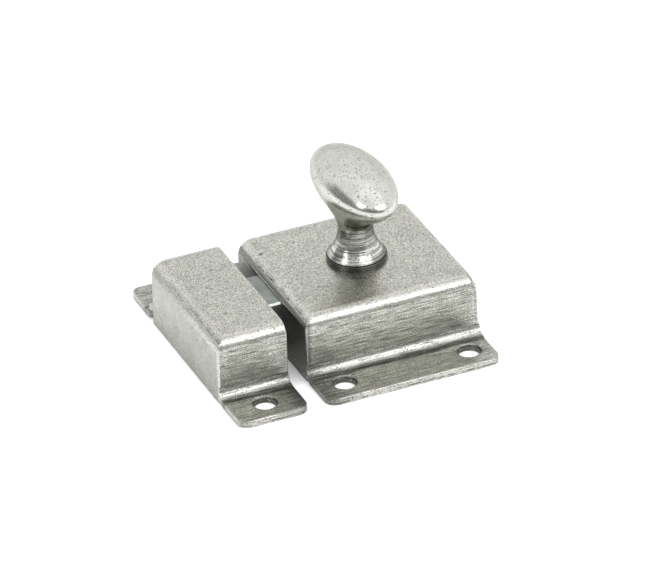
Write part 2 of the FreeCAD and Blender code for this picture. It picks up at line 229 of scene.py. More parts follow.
def hole_cutters(holes):
    """Drills for (x, y, radius, rim round, low, high), flared where the rim is rounded over."""
    mesh = bmesh.new()
    sides, rim_steps, clearance = 48, 5, 0.5 * mm
    angles = [2 * math.pi * side / sides for side in range(sides)]
    for x, y, radius, rim, low, high in holes:
        levels = [(low - clearance, radius)]
        for step in range(rim_steps + 1 if rim else 0):
            angle = math.radians(90 * step / rim_steps)
            levels.append((high - rim + rim * math.sin(angle), radius + rim * (1 - math.cos(angle))))
        levels.append((high + clearance, levels[-1][1]))
        rings = []
        for z, reach in levels:
            rings.append([mesh.verts.new((x + reach * math.cos(angle), y + reach * math.sin(angle), z))
                          for angle in angles])
        skin(mesh, rings)
        mesh.faces.new(rings[-1])
    return plain_mesh("drill", mesh)


def add_piece(name, mesh):
    piece = bpy.data.objects.new(name, mesh)
    bpy.context.scene.collection.objects.link(piece)
    return piece


def finished_mesh(piece):
    """The piece's mesh with its modifiers worked in."""
    return bpy.data.meshes.new_from_object(piece.evaluated_get(bpy.context.evaluated_depsgraph_get()))


def shade_smooth(mesh):
    for face in mesh.polygons:
        face.use_smooth = True
    mesh.set_sharp_from_angle(angle=math.radians(crease_degrees))


def folded_sheet(name, x_low, x_high, low_round, high_round, holes):
    """Sweeps the hat section along the bolt and cuts its holes, as one closed mesh.

    An end that takes a plate has the radius that it is ground to; an open end has none.
    """
    mesh = bmesh.new()
    rows = [[[mesh.verts.new(point) for point in side] for side in row]
            for row in sheet_rows(x_low, x_high, low_round, high_round)]
    last = len(rows[0][0]) - 1
    for (outer, inner), (next_outer, next_inner) in zip(rows, rows[1:]):
        for index in range(last):
            beside = index + 1
            mesh.faces.new((outer[index], next_outer[index], next_outer[beside], outer[beside]))
            mesh.faces.new((inner[index], inner[beside], next_inner[beside], next_inner[index]))
        for index in (0, last):
            mesh.faces.new((outer[index], inner[index], next_inner[index], next_outer[index]))
    rims = []
    for (outer, inner), plated in ((rows[0], low_round), (rows[-1], high_round)):
        for index in range(last):
            mesh.faces.new((outer[index], outer[index + 1], inner[index + 1], inner[index]))
            if not plated or abs(outer[index].co.y) > half_wall + foot_fold:
                rims += [mesh.edges.get((side[index], side[index + 1])) for side in (outer, inner)]
    bmesh.ops.recalc_face_normals(mesh, faces=mesh.faces)
    bmesh.ops.bevel(mesh, geom=rims, offset=cut_edge, segments=2, profile=0.5, affect="EDGES",
                    clamp_overlap=False)
    blank = plain_mesh(name, mesh)
    piece = add_piece(name, blank)
    drill = add_piece(name + "_drill", hole_cutters(holes))
    cut = piece.modifiers.new("holes", "BOOLEAN")
    cut.operation = "DIFFERENCE"
    cut.solver = "EXACT"
    cut.object = drill
    drilled = finished_mesh(piece)
    piece.modifiers.remove(cut)
    piece.data = drilled
    bpy.data.meshes.remove(blank)
    bpy.data.objects.remove(drill)
    shade_smooth(drilled)
    return piece


case_screws = [(x * case_screw_pitch / 2, y * screw_row) for x in (-1, 1) for y in (-1, 1)]
case_holes = [(x, y, screw_hole, screw_hole_round, 0, sheet) for x, y in case_screws]
case_holes.append((0, 0, spindle_hole, 0, height - sheet, height))
case_sheet = folded_sheet("case_sheet", case_left, case_right, end_top_round, rear_top_round, case_holes)


def node(tree, kind, inputs=None, **settings):
    """Adds a node, sets its properties, and fills its sockets with values or outputs."""
    made = tree.nodes.new(kind)
    for name, value in settings.items():
        setattr(made, name, value)
    for name, value in (inputs or {}).items():
        if isinstance(value, bpy.types.NodeSocket):
            tree.links.new(value, made.inputs[name])
        else:
            made.inputs[name].default_value = value
    return made


def arithmetic(tree, operation, first, second=0.0):
    return node(tree, "ShaderNodeMath", {0: first, 1: second}, operation=operation).outputs[0]


def product(tree, value, *factors):
    for factor in factors:
        value = arithmetic(tree, "MULTIPLY", value, factor)
    return value


def largest(tree, value, *others):
    for other in others:
        value = arithmetic(tree, "MAXIMUM", value, other)
    return value


def between(tree, value, low, high, to_low=0.0, to_high=1.0):
    """Smooth step of a value from one range to another."""
    limits = {"Value": value, "From Min": low, "From Max": high, "To Min": to_low, "To Max": to_high}
    return node(tree, "ShaderNodeMapRange", limits, interpolation_type="SMOOTHSTEP").outputs["Result"]


def blend(tree, share, first, second):
    return node(tree, "ShaderNodeMix", {0: share, 2: first, 3: second}).outputs[0]


def blend_colour(tree, share, first, second, how="MIX"):
    return node(tree, "ShaderNodeMix", {0: share, 6: first, 7: second}, data_type="RGBA",
                blend_type=how).outputs[2]


def stretched(tree, place, factors):
    return node(tree, "ShaderNodeVectorMath", {0: place, 1: factors}, operation="MULTIPLY").outputs[0]


def clouds(tree, place, scale, detail, **more):
    """Noise texture at a place; its outputs."""
    return node(tree, "ShaderNodeTexNoise",
                {"Vector": place, "Scale": scale, "Detail": detail, **more}).outputs


def own_place(tree):
    return node(tree, "ShaderNodeTexCoord").outputs["Object"]


def parts(tree, vector):
    return node(tree, "ShaderNodeSeparateXYZ", {0: vector}).outputs


def facing_parts(tree):
    return parts(tree, node(tree, "ShaderNodeNewGeometry").outputs["Normal"])


def effect_group(name, inputs, outputs):
    """Empty shader group with named float sockets, and its surface position in millimetres."""
    tree = bpy.data.node_groups.new(name, "ShaderNodeTree")
    for title, value in inputs.items():
        socket = tree.interface.new_socket(title, in_out="INPUT", socket_type="NodeSocketFloat")
        socket.default_value = value
    for title in outputs:
        tree.interface.new_socket(title, in_out="OUTPUT", socket_type="NodeSocketFloat")
    given = tree.nodes.new("NodeGroupInput").outputs
    result = tree.nodes.new("NodeGroupOutput").inputs
    millimetres = node(tree, "ShaderNodeVectorMath", {0: own_place(tree), "Scale": 1 / mm},
                       operation="SCALE").outputs[0]
    return tree, given, result, millimetres


def build_grain_group():
    """Cast-looking grain of the pewter finish: fine tooth, slow clouding, and scattered dark pits."""
    sizes = {"Tooth per mm": 3.0, "Pits per mm": 0.6, "Pit Radius": 0.2, "Specks per mm": 1.6,
             "Speck Radius": 0.11, "Pit Share": 0.55}
    clouds_per_mm, warps_per_mm, warp_reach = 0.35, 3.0, 0.35
    rim_outside, rim_inside = -0.05, 0.35
    tree, given, result, place = effect_group("pewter_grain", sizes, ["Tooth", "Cloud", "Pits"])
    tooth = clouds(tree, place, given["Tooth per mm"], 3.0, Roughness=0.6)["Fac"]
    cloud = clouds(tree, place, clouds_per_mm, 3.0)["Fac"]
    warp = clouds(tree, place, warps_per_mm, 1.0)["Color"]
    shifted = node(tree, "ShaderNodeVectorMath", {0: warp, 1: (warp_reach,) * 3, 2: place},
                   operation="MULTIPLY_ADD").outputs[0]
    bare = arithmetic(tree, "SUBTRACT", 1.0, given["Pit Share"])
    hollows = []
    for spacing, radius in (("Pits per mm", "Pit Radius"), ("Specks per mm", "Speck Radius")):
        cells = node(tree, "ShaderNodeTexVoronoi", {"Vector": shifted, "Scale": given[spacing]})
        reach = product(tree, given[radius], given[spacing])
        chance = node(tree, "ShaderNodeSeparateColor", {0: cells.outputs["Color"]}).outputs[0]
        size = product(tree, reach, between(tree, chance, bare, 1.0))
        depth = arithmetic(tree, "SUBTRACT", size, cells.outputs["Distance"])
        share = arithmetic(tree, "DIVIDE", depth, reach)
        hollows.append(between(tree, share, rim_outside, rim_inside))
    tree.links.new(tooth, result["Tooth"])
    tree.links.new(cloud, result["Cloud"])
    tree.links.new(largest(tree, *hollows), result["Pits"])
    return tree


def build_brush_group():
    """Fine scratches that the rolling and brushing left along the folds."""
    sizes = {"Lines per mm": 3.2, "Length": 34.0}
    deep_from, deep_to = 0.58, 0.72
    tree, given, result, place = effect_group("brushed_lines", sizes, ["Lines", "Deep"])
    along = arithmetic(tree, "DIVIDE", 1.0, given["Length"])
    squeeze = node(tree, "ShaderNodeCombineXYZ", {0: along, 1: 1.0, 2: 1.0}).outputs[0]
    drawn = stretched(tree, place, squeeze)
    lines = clouds(tree, drawn, given["Lines per mm"], 3.0, Roughness=0.6)["Fac"]
    tree.links.new(lines, result["Lines"])
    tree.links.new(between(tree, lines, deep_from, deep_to), result["Deep"])
    return tree


grain_group = build_grain_group()
brush_group = build_brush_group()


def use_group(tree, group, values):
    return node(tree, "ShaderNodeGroup", values, node_tree=group).outputs


def read_mask(tree, name):
    return node(tree, "ShaderNodeAttribute", attribute_name=name).outputs["Fac"]


def new_metal(name):
    """Empty metal material: itself, its tree and its shader's inputs."""
    material = bpy.data.materials.new(name)
    material.use_nodes = True
    shader = material.node_tree.nodes["Principled BSDF"].inputs
    shader["Metallic"].default_value = 1.0
    return material, material.node_tree, shader


def dress(tree, shader, colour, roughness, relief):
    """Gives a metal's shader its colour, its roughness and a relief in millimetres."""
    bump = node(tree, "ShaderNodeBump", {"Strength": 1.0, "Distance": mm, "Height": relief})
    tree.links.new(colour, shader["Base Color"])
    tree.links.new(roughness, shader["Roughness"])
    tree.links.new(bump.outputs["Normal"], shader["Normal"])


def shear_line(tree, grain):
    """Broken dark line low on the sheet's cut edge, where it tore off in the shears."""
    foot, full, fading, head = 0.30 * mm, 0.45 * mm, 0.62 * mm, 0.80 * mm
    level = parts(tree, own_place(tree))[2]
    band = product(tree, between(tree, level, foot, full), between(tree, level, head, fading))
    return product(tree, band, between(tree, grain["Cloud"], 0.40, 0.55, 0.25, 0.85))


def pewter(name, colour, tarnish_and_shade, roughness, contrast, tooth_height, grain_values):
    """Waxed pewter: warm grey, speckled, brushed where the sheet was rolled, bright on worn edges and
    where highlights are painted, darker with dirt and painted shade.
    """
    wear_and_highlight_colour = (0.80, 0.79, 0.75, 1.0)
    wear_and_highlight_most, scratch_dark, grain_lost = 0.85, 0.5, 0.2
    streak_light, streak_dark = 1.12, 0.46
    cloud_dark, cloud_light = 0.93, 1.06
    pits_plain, pits_brushed = 0.85, 0.5
    pit_depth, scratch_depth, brushed_tooth = 0.08, 0.02, 0.8
    duller, shinier, brushed_dull = 0.08, 0.05, 0.06
    material, tree, shader = new_metal(name)
    grain = use_group(tree, grain_group, grain_values)
    brush = use_group(tree, brush_group, {"Lines per mm": 3.9, "Length": 20.0})
    sideways = arithmetic(tree, "ABSOLUTE", facing_parts(tree)[1])
    upright = between(tree, sideways, 0.55, 0.9)
    brushed = largest(tree, upright, read_mask(tree, "brushed"))
    scratches = product(tree, brush["Deep"], brushed)

    tone = between(tree, grain["Tooth"], 0.34, 0.66, 1.0 - contrast, 1.0 + 0.6 * contrast)
    tone = product(tree, tone, between(tree, grain["Cloud"], 0.3, 0.7, cloud_dark, cloud_light))
    tone = blend(tree, product(tree, brushed, grain_lost), tone, 1.0)
    streak = between(tree, brush["Lines"], 0.34, 0.66, streak_light, streak_dark)
    tone = product(tree, tone, blend(tree, brushed, 1.0, streak))
    finish = blend_colour(tree, 1.0, colour, tone, "MULTIPLY")
    patchy = between(tree, grain["Tooth"], 0.3, 0.6)
    # Light colour from the wear-and-highlight mask: real edge wear, and painted highlights along folds and
    # round edges.
    rubbing_and_highlight = product(tree, read_mask(tree, "wear_and_highlight"), patchy, wear_and_highlight_most)
    bright = blend_colour(tree, rubbing_and_highlight, finish, wear_and_highlight_colour)
    streaky = between(tree, brush["Lines"], 0.25, 0.6, 0.55, 1.0)
    # Dark from the grime-and-shade mask: seam stains and dirt, and painted shade in folds, holes, on
    # flanges and by the gap.
    dirt_and_shade = product(tree, read_mask(tree, "grime_and_shade"), streaky)
    pitted = product(tree, grain["Pits"], between(tree, brushed, 0.0, 1.0, pits_plain, pits_brushed))
    dark = largest(tree, pitted, dirt_and_shade, product(tree, scratches, scratch_dark),
                   product(tree, shear_line(tree, grain), upright))
    shade = blend_colour(tree, dark, bright, tarnish_and_shade)

    dull = between(tree, grain["Tooth"], 0.3, 0.7, roughness + duller, roughness - shinier)
    dull = arithmetic(tree, "ADD", dull, product(tree, brushed, brushed_dull))
    rise = between(tree, brushed, 0.0, 1.0, tooth_height, brushed_tooth * tooth_height)
    relief = product(tree, grain["Tooth"], rise)
    relief = arithmetic(tree, "SUBTRACT", relief, product(tree, grain["Pits"], pit_depth))
    relief = arithmetic(tree, "SUBTRACT", relief, product(tree, scratches, scratch_depth))
    dress(tree, shader, shade, dull, relief)
    return material


pewter_sheet = pewter(
    "pewter_sheet", colour=(0.60, 0.60, 0.545, 1.0), tarnish_and_shade=(0.06, 0.06, 0.055, 1.0),
    roughness=0.22, contrast=0.58, tooth_height=0.03,
    grain_values={"Tooth per mm": 4.0, "Pits per mm": 0.40, "Pit Radius": 0.26,
                  "Specks per mm": 2.3, "Speck Radius": 0.15, "Pit Share": 0.72})


def new_masks(mesh, *names):
    """Adds masks with a value at each vertex, and gives those values."""
    for name in names:
        mesh.attributes.new(name, "FLOAT", "POINT")
    return [mesh.attributes[name].data for name in names]


def near(distance, reach):
    """1 at a feature, falling to 0 at its reach."""
    return max(0.0, 1.0 - abs(distance) / reach)


end_wear = 0.45 * mm


def flange_wear_shade_highlight(x, y, z, from_ends):
    """Wear-and-highlight and grime-and-shade shares on a flange: worn bright ends, a painted highlight
    along the fold's foot, and painted shade all over, in the fold's foot and by the gap.
    """
    flange_shade, gap_shade, gap_reach = 0.14, 0.8, 11 * mm
    foot_shade, foot_shade_shift, foot_shade_reach = 0.4, 0.4 * mm, 2.4 * mm
    line_shift, line_reach = 0.3 * mm, 1.1 * mm
    fold_middle, fold_reach = half_wall + 0.36 * foot_fold, 0.32 * foot_fold
    patch_pace, patch_seed, foot_highlight_pace, foot_highlight_seed = 6 * mm, 3.0, 4 * mm, 9.0
    side = abs(y)
    from_foot = side - half_wall - foot_fold
    wear_and_highlight = near(from_ends, end_wear)
    patch = 0.6 + 0.8 * noise.noise(Vector((x / patch_pace, y / half_wall, patch_seed)))
    # Painted shade: the whole flange a little darker, much darker towards the gap between case and keep,
    # and in the foot of the fold.
    grime_and_shade = flange_shade + gap_shade * near(x - gap_middle, gap_reach)
    grime_and_shade += foot_shade * patch * near(from_foot - foot_shade_shift, foot_shade_reach)
    if z > 0.9 * sheet:
        # Painted shade: a dark line down in the fold's foot.
        grime_and_shade += near(from_foot + line_shift, line_reach)
        # Painted highlight: a bright band along the fold's foot.
        rubbing_and_highlight = 0.9 + 1.0 * noise.noise(Vector((x / foot_highlight_pace, side / half_wall, foot_highlight_seed)))
        wear_and_highlight = max(wear_and_highlight, rubbing_and_highlight * near(side - fold_middle, fold_reach))
    return wear_and_highlight, grime_and_shade


def hole_shade_and_highlight(x, y, screw, wear_and_highlight, grime_and_shade):
    """Wear-and-highlight and grime-and-shade shares round a screw hole: painted shade inside and round the
    near rim, a painted highlight on the far rim.
    """
    inside, hole_shade = -0.15 * mm, 0.85
    far_side = 0.8 * screw_hole
    far_rim_highlight, rim_shift, rim_reach = 0.9, 0.1 * mm, 0.4 * mm
    rim_shade, rim_shade_reach = 0.6, 0.5 * mm
    rim = math.hypot(x - screw[0], y - screw[1]) - screw_hole - screw_hole_round / 2
    # Painted shade inside the hole.
    if rim < inside:
        return 0.0, hole_shade
    if y > screw[1] + far_side:
        # Painted highlight on the far rim.
        return max(wear_and_highlight, far_rim_highlight * near(rim - rim_shift, rim_reach)), grime_and_shade
    # Painted shade round the near rim.
    return wear_and_highlight, max(grime_and_shade, rim_shade * near(rim, rim_shade_reach))


def plated_end_wear_and_highlight(y, z, x_low, radius, distance, spotted):
    """Wear-and-highlight and grime-and-shade shares by a plated end: a rubbed round that also carries a
    painted highlight, and stains along its seam.
    """
    top_wear_and_highlight, wall_wear, wear_reach = 0.9, 0.35, 1.1 * mm
    stain_pace, stain_fade, stain_reach = 2.5 * mm, 8 * mm, 0.7 * mm
    stain_most, spot_most, spot_pace = 0.75, 1.4, 0.9 * mm
    on_top = z > wall_head
    # The rubbed round also carries a painted highlight.
    wear_and_highlight = (top_wear_and_highlight if on_top else wall_wear) * near(distance - radius / 2, wear_reach)
    stain = 0.0
    if on_top:
        stain = 0.55 + 0.9 * noise.noise(Vector((x_low, y, 0.0)) / stain_pace)
        stain = stain_most * (stain - max(0.0, (y - weld_end) / stain_fade))
    elif spotted:
        stain = spot_most * noise.noise(Vector((x_low, y, z)) / spot_pace)
    return wear_and_highlight, stain * near(distance - end_plate, stain_reach)


def weather_with_painted_light(piece, x_low, x_high, low_round, high_round, screws, dents):
    """Writes where the finish is brushed, where it is worn or given a painted highlight, and where it is
    grimy or given painted shade, and makes the ground faces a little uneven.
    """
    wave, swell = 7 * mm, 0.035 * mm
    toe_wear = 0.6 * mm
    highlight_turn, highlight_reach = 0.95, 0.9
    line_turn, line_reach, fold_line_shade = math.radians(62), 0.10, 0.45
    brushed_top, dent_dark, underside = 0.12, 1.2, 0.2 * mm
    fold_y = half_wall - top_fold
    mesh = piece.data
    brushed_mask, wear_and_highlight_mask, grime_and_shade_mask = new_masks(mesh, "brushed", "wear_and_highlight", "grime_and_shade")
    moved = []
    for vertex in mesh.vertices:
        x, y, z = vertex.co
        side = abs(y)
        on_flange = side > half_wall and z < wall_foot
        ends = ((low_round, x - x_low), (high_round, x_high - x))
        from_plates = min(distance for radius, distance in ends if radius)
        fade = min(1.0, max(0.0, from_plates / end_plate - 1.0) / 2)
        drop = swell * (0.5 + 0.5 * noise.noise(vertex.co / wave)) * fade
        wear_and_highlight = near(half_span - side, toe_wear) if z < 1.2 * sheet else 0.0
        grime_and_shade = 0.0
        if on_flange:
            flange_wear_and_highlight, grime_and_shade = flange_wear_shade_highlight(x, y, z, min(x - x_low, x_high - x))
            wear_and_highlight = max(wear_and_highlight, flange_wear_and_highlight)
        for screw in screws:
            wear_and_highlight, grime_and_shade = hole_shade_and_highlight(x, y, screw, wear_and_highlight, grime_and_shade)
        for radius, distance in ends if not on_flange else ():
            end_wear_and_highlight, stain = near(distance, end_wear), 0.0
            if radius:
                spotted = x < (x_low + x_high) / 2 and y < 0
                end_wear_and_highlight, stain = plated_end_wear_and_highlight(y, z, x_low, radius, distance, spotted)
            wear_and_highlight, grime_and_shade = max(wear_and_highlight, end_wear_and_highlight), max(grime_and_shade, stain)
        # Painted highlight along the top fold, with a painted dark line across it.
        if side > fold_y and z > wall_head:
            turned = math.atan2(z - wall_head, side - fold_y)
            wear_and_highlight = max(wear_and_highlight, near(turned - highlight_turn, highlight_reach))
            grime_and_shade = max(grime_and_shade, fold_line_shade * near(turned - line_turn, line_reach))
        for dent_x, dent_y, radius, depth in dents if z > height - sheet / 2 else ():
            into = near(math.hypot(x - dent_x, y - dent_y), radius)
            drop += depth * into * (2.0 - into)
            grime_and_shade = max(grime_and_shade, dent_dark * into)
        brushed_mask[vertex.index].value = 1.0 if on_flange else brushed_top
        wear_and_highlight_mask[vertex.index].value = wear_and_highlight
        grime_and_shade_mask[vertex.index].value = min(1.0, max(0.0, grime_and_shade))
        moved.append(vertex.co - vertex.normal * drop if z > underside else vertex.co.copy())
    for vertex, place in zip(mesh.vertices, moved):
        vertex.co = place
    mesh.update()


gap_middle = (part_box("keep_shell")[1].x + case_left) / 2
case_dents = [(-18.5 * mm, 10.9 * mm, 0.8 * mm, 0.25 * mm), (-10.0 * mm, 12.1 * mm, 0.5 * mm, 0.1 * mm)]
weather_with_painted_light(case_sheet, case_left, case_right, end_top_round, rear_top_round, case_screws, case_dents)


def fit(piece, material, slot, body, *nodes):
    """Gives a finished piece its material and puts it in the place of its solids."""
    piece.data.materials.clear()
    piece.data.materials.append(material)
    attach(piece, body)
    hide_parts(*nodes)


fit(case_sheet, pewter_sheet, "pewter_sheet", "case", "case_shell")

# Slot plate
# Thin steel plate let into the case's end towards the keep, with the slot that the bolt comes out of.
# It is welded along the top and ground over with the sheet; its face is painted darker than the rest, as
# shade in the gap towards the keep.


def soften(mesh):
    """Shades each face corner by the faces that meet there nearly level, the larger counting more."""
    nearly_level = math.cos(math.radians(30))
    meeting = {}
    for face in mesh.polygons:
        face.use_smooth = True
        for vertex in face.vertices:
            meeting.setdefault(vertex, []).append(face)
    normals = []
    for face in mesh.polygons:
        for vertex in face.vertices:
            alike = [other for other in meeting[vertex] if other.normal.dot(face.normal) > nearly_level]
            normals.append(sum((other.normal * other.area for other in alike), Vector()).normalized())
    mesh.normals_split_custom_set(normals)


def smooth_copy(name, cad_node):
    """Copy of a solid with its triangles joined, round faces shaded round and flat ones kept flat."""
    mesh = bmesh.new()
    mesh.from_mesh(frame["nodes"][cad_node].data)
    bmesh.ops.remove_doubles(mesh, verts=mesh.verts, dist=0.001 * mm)
    joined = plain_mesh(name, mesh)
    soften(joined)
    return add_piece(name, joined)


ground_plate = pewter(
    "ground_plate", colour=(0.49, 0.49, 0.455, 1.0), tarnish_and_shade=(0.08, 0.08, 0.075, 1.0),
    roughness=0.34, contrast=0.16, tooth_height=0.01,
    grain_values={"Tooth per mm": 2.2, "Pits per mm": 0.30, "Pit Radius": 0.16,
                  "Specks per mm": 0.9, "Speck Radius": 0.10})


def end_piece(name, cad_node, x_end, inward, painted_shade):
    """Copy of an end plate, ground at its corners, with the sheet's finish on its edges and top, a painted
    highlight with its wear on top, and painted shade on its face.
    """
    edge_facing, top_facing = 0.5, 0.6
    top_depth, top_wear_and_highlight = 1.4 * mm, 0.7
    corner_depth, corner_reach = 0.45 * mm, 0.5 * mm
    piece = smooth_copy(name, cad_node)
    fit(piece, ground_plate, "pewter_sheet", "case", cad_node)
    mesh = piece.data
    mesh.materials.append(pewter_sheet)
    for face in mesh.polygons:
        with_sheet = abs(face.normal.y) > edge_facing or face.normal.z > top_facing
        face.material_index = 1 if with_sheet else 0
    wear_and_highlight, grime_and_shade = new_masks(mesh, "wear_and_highlight", "grime_and_shade")
    for vertex in mesh.vertices:
        x, y, z = vertex.co
        on_top = z > height - top_depth
        at_corner = y < -half_wall + corner_depth and abs(x - x_end) < corner_reach
        # Painted shade on the face below the top, and a painted highlight with the wear on the top round.
        grime_and_shade[vertex.index].value = 0.0 if on_top else painted_shade
        wear_and_highlight[vertex.index].value = 1.0 if at_corner else top_wear_and_highlight if on_top else 0.0
        vertex.co = grind_corner(vertex.co, x_end, inward)
    mesh.update()
    soften(mesh)


# The slot plate's face is painted darker, as shade in the gap towards the keep.
end_piece("slot_plate", "case_slot_plate", case_left, 1, painted_shade=0.5)

# Rear plate
# The same thin plate without a slot, welded into the case's other end and ground over with it.
# The spring rod is riveted in its middle.
end_piece("rear_plate", "case_rear_plate", case_right, -1, painted_shade=0.0)

# Spring rod
# Plain round steel rod, turned down at one end and riveted in the rear plate.
# It carries the spring and guides the bolt's tail.


def machined(name, colour, roughness):
    """Bare metal with fine tool marks and a little clouding."""
    darker_share, shinier, duller, mark_depth = 0.75, 0.06, 0.10, 0.006
    material, tree, shader = new_metal(name)
    brush = use_group(tree, brush_group, {"Lines per mm": 5.0, "Length": 6.0})
    grain = use_group(tree, grain_group, {"Tooth per mm": 6.0, "Pits per mm": 0.3, "Pit Radius": 0.08})
    darker = [darker_share * part for part in colour[:3]] + [1.0]
    shade = blend_colour(tree, between(tree, grain["Cloud"], 0.3, 0.7), darker, colour)
    dull = between(tree, brush["Lines"], 0.3, 0.7, roughness - shinier, roughness + duller)
    dress(tree, shader, shade, dull, product(tree, brush["Lines"], mark_depth))
    return material


plain_steel = machined("plain_steel", (0.42, 0.42, 0.42, 1.0), 0.36)
fit(smooth_copy("rod", "spring_rod"), plain_steel, "plain_steel", "case", "spring_rod")

# Bolt spring
# Compression spring of drawn steel wire, coiled cold and slipped over the rod.
# It is held between the bolt's tail and the rear plate, and pushes the bolt out.
spring_wire = 0.4 * mm
spring_turns = 8.0
spring_low, spring_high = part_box("bolt_spring")
spring_length = spring_high.x - spring_low.x
coil_radius = (spring_high.y - spring_low.y - spring_wire) / 2
coil_middle = (spring_low.z + spring_high.z) / 2


def build_coil_tree():
    """Geometry nodes for a coil along X: a spiral swept with a round wire."""
    spiral_steps, wire_sides = 32, 12
    tree = bpy.data.node_groups.new("coil_of_wire", "GeometryNodeTree")
    tree.interface.new_socket("Geometry", in_out="OUTPUT", socket_type="NodeSocketGeometry")
    sizes = {"Turns": "Float", "Coil Radius": "Float", "Length": "Float", "Wire Radius": "Float"}
    for title, kind in {**sizes, "Start": "Vector", "Material": "Material"}.items():
        tree.interface.new_socket(title, in_out="INPUT", socket_type="NodeSocket" + kind)
    given = tree.nodes.new("NodeGroupInput").outputs
    spiral = node(tree, "GeometryNodeCurveSpiral", {
        "Resolution": spiral_steps, "Rotations": given["Turns"], "Height": given["Length"],
        "Start Radius": given["Coil Radius"], "End Radius": given["Coil Radius"]})
    wire = node(tree, "GeometryNodeCurvePrimitiveCircle", {
        "Resolution": wire_sides, "Radius": given["Wire Radius"]})
    swept = node(tree, "GeometryNodeCurveToMesh", {
        "Curve": spiral.outputs[0], "Profile Curve": wire.outputs[0], "Fill Caps": True})
    laid = node(tree, "GeometryNodeTransform", {
        "Geometry": swept.outputs[0], "Translation": given["Start"], "Rotation": (0, math.pi / 2, 0)})
    smooth = node(tree, "GeometryNodeSetShadeSmooth", {"Geometry": laid.outputs[0]})
    real = node(tree, "GeometryNodeRealizeInstances", {"Geometry": smooth.outputs[0]})
    dressed = node(tree, "GeometryNodeSetMaterial", {
        "Geometry": real.outputs[0], "Material": given["Material"]})
    node(tree, "NodeGroupOutput", {"Geometry": dressed.outputs[0]})
    return tree


def coil_piece(name, sizes):
    """Runs the coil tree with named sizes and keeps the result as a plain mesh."""
    tree = build_coil_tree()
    piece = add_piece(name, bpy.data.meshes.new(name))
    winding = piece.modifiers.new("winding", "NODES")
    winding.node_group = tree
    for item in tree.interface.items_tree:
        if item.in_out == "INPUT":
            winding[item.identifier] = sizes[item.name]
    piece.data = finished_mesh(piece)
    piece.modifiers.remove(winding)
    return piece


spring_steel = machined("spring_steel", (0.36, 0.36, 0.38, 1.0), 0.28)
coil = coil_piece("coil_spring", {
    "Turns": spring_turns, "Coil Radius": coil_radius, "Length": spring_length - spring_wire,
    "Wire Radius": spring_wire / 2, "Material": spring_steel,
    "Start": (spring_low.x + spring_wire / 2, 0.0, coil_middle)})
fit(coil, spring_steel, "spring_steel", "case", "bolt_spring")
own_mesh(coil)

# Bolt
# Block of steel with a bevelled nose, a window in which the cam works and a bore for the rod.
# It is milled, bright zinc plated, and slides in the plate's slot.


def zinc_plate(name):
    """Bright zinc: faintly blue, softly clouded, with fine draw marks and bevels painted lighter as a
    highlight.
    """
    cloud_dark, cloud_light = (0.225, 0.245, 0.235, 1.0), (0.335, 0.355, 0.335, 1.0)
    bevel_highlight_colour = (0.42, 0.44, 0.43, 1.0)
    shiny, dull, tooth_height = 0.26, 0.40, 0.004
    material, tree, shader = new_metal(name)
    grain = use_group(tree, grain_group, {"Tooth per mm": 5.0, "Pits per mm": 0.25, "Pit Radius": 0.10})
    brush = use_group(tree, brush_group, {"Lines per mm": 4.0, "Length": 8.0})
    plated = blend_colour(tree, between(tree, grain["Cloud"], 0.25, 0.75), cloud_dark, cloud_light)
    facing = facing_parts(tree)
    sideways, upwards = (arithmetic(tree, "ABSOLUTE", facing[axis]) for axis in (1, 2))
    # Painted highlight on the bevels, picked by which way they face.
    bevel_highlight = between(tree, arithmetic(tree, "MINIMUM", sideways, upwards), 0.35, 0.6)
    shade = blend_colour(tree, bevel_highlight, plated, bevel_highlight_colour)
    roughness = between(tree, brush["Lines"], 0.3, 0.7, shiny, dull)
    dress(tree, shader, shade, roughness, product(tree, grain["Tooth"], tooth_height))
    return material


fit(smooth_copy("zinc_bolt", "latch_bolt"), zinc_plate("zinc_plated"), "zinc_plated_bolt", "bolt",
    "latch_bolt")

# Knob washer
# Turned ring of dark steel that lies on the case's top, under the knob's base.
# It keeps the knob from scoring the finish as it turns.
turned_steel = machined("turned_steel", (0.14, 0.14, 0.13, 1.0), 0.26)
fit(smooth_copy("collar_washer", "knob_washer"), turned_steel, "turned_washer", "case", "knob_washer")

# Spindle washer
# Thin punched steel washer round the spindle, between the case's top and the cam.
# It is loose, and turns with the knob.
fit(smooth_copy("thin_washer", "spindle_washer"), plain_steel, "plain_steel", "knob", "spindle_washer")

# Cam
# Plate cam cut from plain steel, with a square hole that fits on the spindle's square.
# It works in the bolt's window and draws the bolt in as the knob turns.
fit(smooth_copy("pull_cam", "cam"), plain_steel, "plain_steel", "knob", "cam")

# Retaining ring
# Open ring of spring steel that snaps into the spindle's groove below the cam.
# It holds the knob, washer and cam together on the case.
fit(smooth_copy("snap_ring", "retaining_ring"), plain_steel, "plain_steel", "knob", "retaining_ring")

# Knob
# One piece of steel: spindle, trumpet base and waist are turned on a lathe, the oval head is ground
# and satin polished. It drops through the washer and the case's top.
knob_low, knob_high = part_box("knob")
cam_low, cam_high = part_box("cam")
seat_play = 0.05 * mm
knob_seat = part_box("knob_washer")[1].z + seat_play
spindle_radius = 3.0 * mm
square_half = 2.1 * mm
square_round = 0.3 * mm
groove_radius = 1.6 * mm
tip_radius = 2.1 * mm
tip_length = 0.6 * mm
base_radius = 6.55 * mm
base_rim = 0.4 * mm
base_lip = 0.1 * mm
rim_foot = [(0.0, 0.15 * mm), (0.05 * mm, 0.04 * mm), (0.15 * mm, 0.0)]
waist_radius = 3.95 * mm
waist_rise = 7.0 * mm
head_rise = 10.8 * mm
crown_rise = 5.6 * mm
head_half_length = knob_high.y
head_half_width = knob_high.x
waist_height = knob_seat + waist_rise
knob_sides = 144


